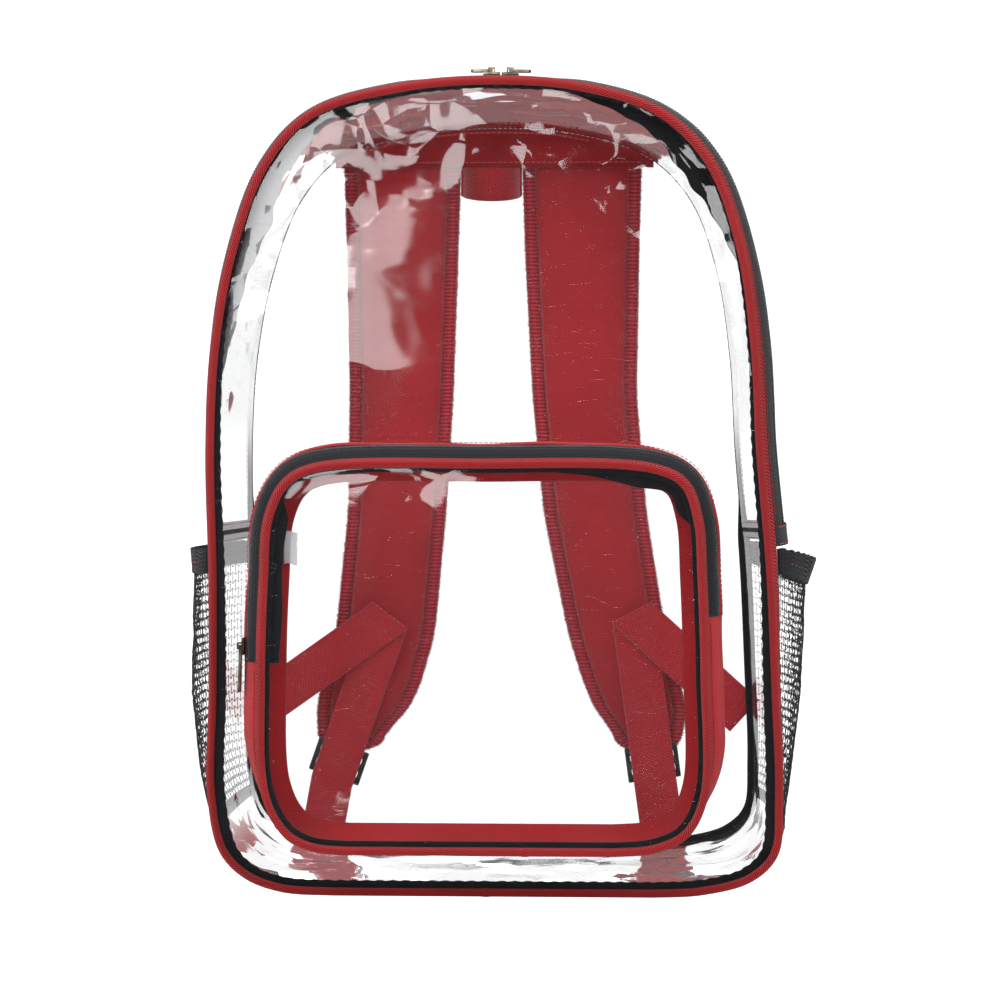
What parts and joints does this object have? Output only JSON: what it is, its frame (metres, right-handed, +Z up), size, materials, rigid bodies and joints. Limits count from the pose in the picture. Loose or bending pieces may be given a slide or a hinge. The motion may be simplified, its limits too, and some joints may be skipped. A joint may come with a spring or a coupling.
{
  "type": "clear stadium backpack",
  "caption": "Clear vinyl backpack with red piping, zipped front pocket, net side pockets and padded red shoulder straps, standing on its base.",
  "frame": {"origin": "bottom centre of the whole bag's box, on the surface that it stands on", "axes": "+Z up, the front pocket faces -Y, +X to the right seen from the front"},
  "size_m": [0.3386, 0.1994, 0.435],
  "materials": {
    "clear_vinyl": "glossy clear sheet",
    "red_twill": "twill piping and pocket cloth",
    "red_webbing": "woven webbing",
    "red_strap": "padded strap cloth",
    "black_binding": "woven binding and zip tape",
    "black_net": "knitted net",
    "zip_teeth": "nylon coil",
    "black_plastic": "moulded",
    "dark_metal": "antique nickel",
    "label_cloth": "blank label"
  },
  "bodies": {
    "bag": {"front_panel": "clear_vinyl", "back_panel": "clear_vinyl", "upper_gusset": "clear_vinyl", "lower_gusset": "clear_vinyl", "front_piping": "red_twill", "front_binding": "black_binding", "zip_tape_front": "black_binding", "zip_tape_rear": "black_binding", "zip_coil": "zip_teeth", "rear_binding": "black_binding", "cross_binding_left": "black_binding", "cross_binding_right": "black_binding", "mesh_pocket_left": "black_net", "mesh_pocket_right": "black_net", "mesh_elastic_left": "black_binding", "mesh_elastic_right": "black_binding", "pocket_panel": "clear_vinyl", "pocket_piping": "red_twill", "pocket_binding": "black_binding", "pocket_zip_tape": "black_binding", "pocket_zip_coil": "zip_teeth", "pocket_zip_facing": "red_twill", "pocket_gusset": "red_twill", "inner_label": "label_cloth", "slider_left": "dark_metal", "slider_right": "dark_metal", "pocket_slider": "dark_metal", "yoke": "red_twill", "haul_loop": "red_webbing", "shoulder_strap_left": "red_strap", "shoulder_strap_right": "red_strap", "strap_binding_left": "red_strap", "strap_binding_right": "red_strap", "webbing_left": "red_webbing", "webbing_right": "red_webbing", "ladder_lock_left": "black_plastic", "ladder_lock_right": "black_plastic"},
    "left_pull": {"pull_left": "dark_metal"},
    "right_pull": {"pull_right": "dark_metal"},
    "front_pocket_pull": {"pocket_pull": "dark_metal"}
  },
  "joints": [
    {"name": "left_pull_hinge", "type": "hinge", "parent": "bag", "child": "left_pull", "pos_m": [-0.00404, -0.0471, 0.43315], "axis": [0, 1, 0], "range_deg": [0, 105]},
    {"name": "right_pull_hinge", "type": "hinge", "parent": "bag", "child": "right_pull", "pos_m": [0.00573, -0.0471, 0.43306], "axis": [0, -1, 0], "range_deg": [0, 105]},
    {"name": "pocket_pull_hinge", "type": "hinge", "parent": "bag", "child": "front_pocket_pull", "pos_m": [-0.13244, -0.0843, 0.1335], "axis": [0, 1, 0], "range_deg": [0, 165]}
  ]
}
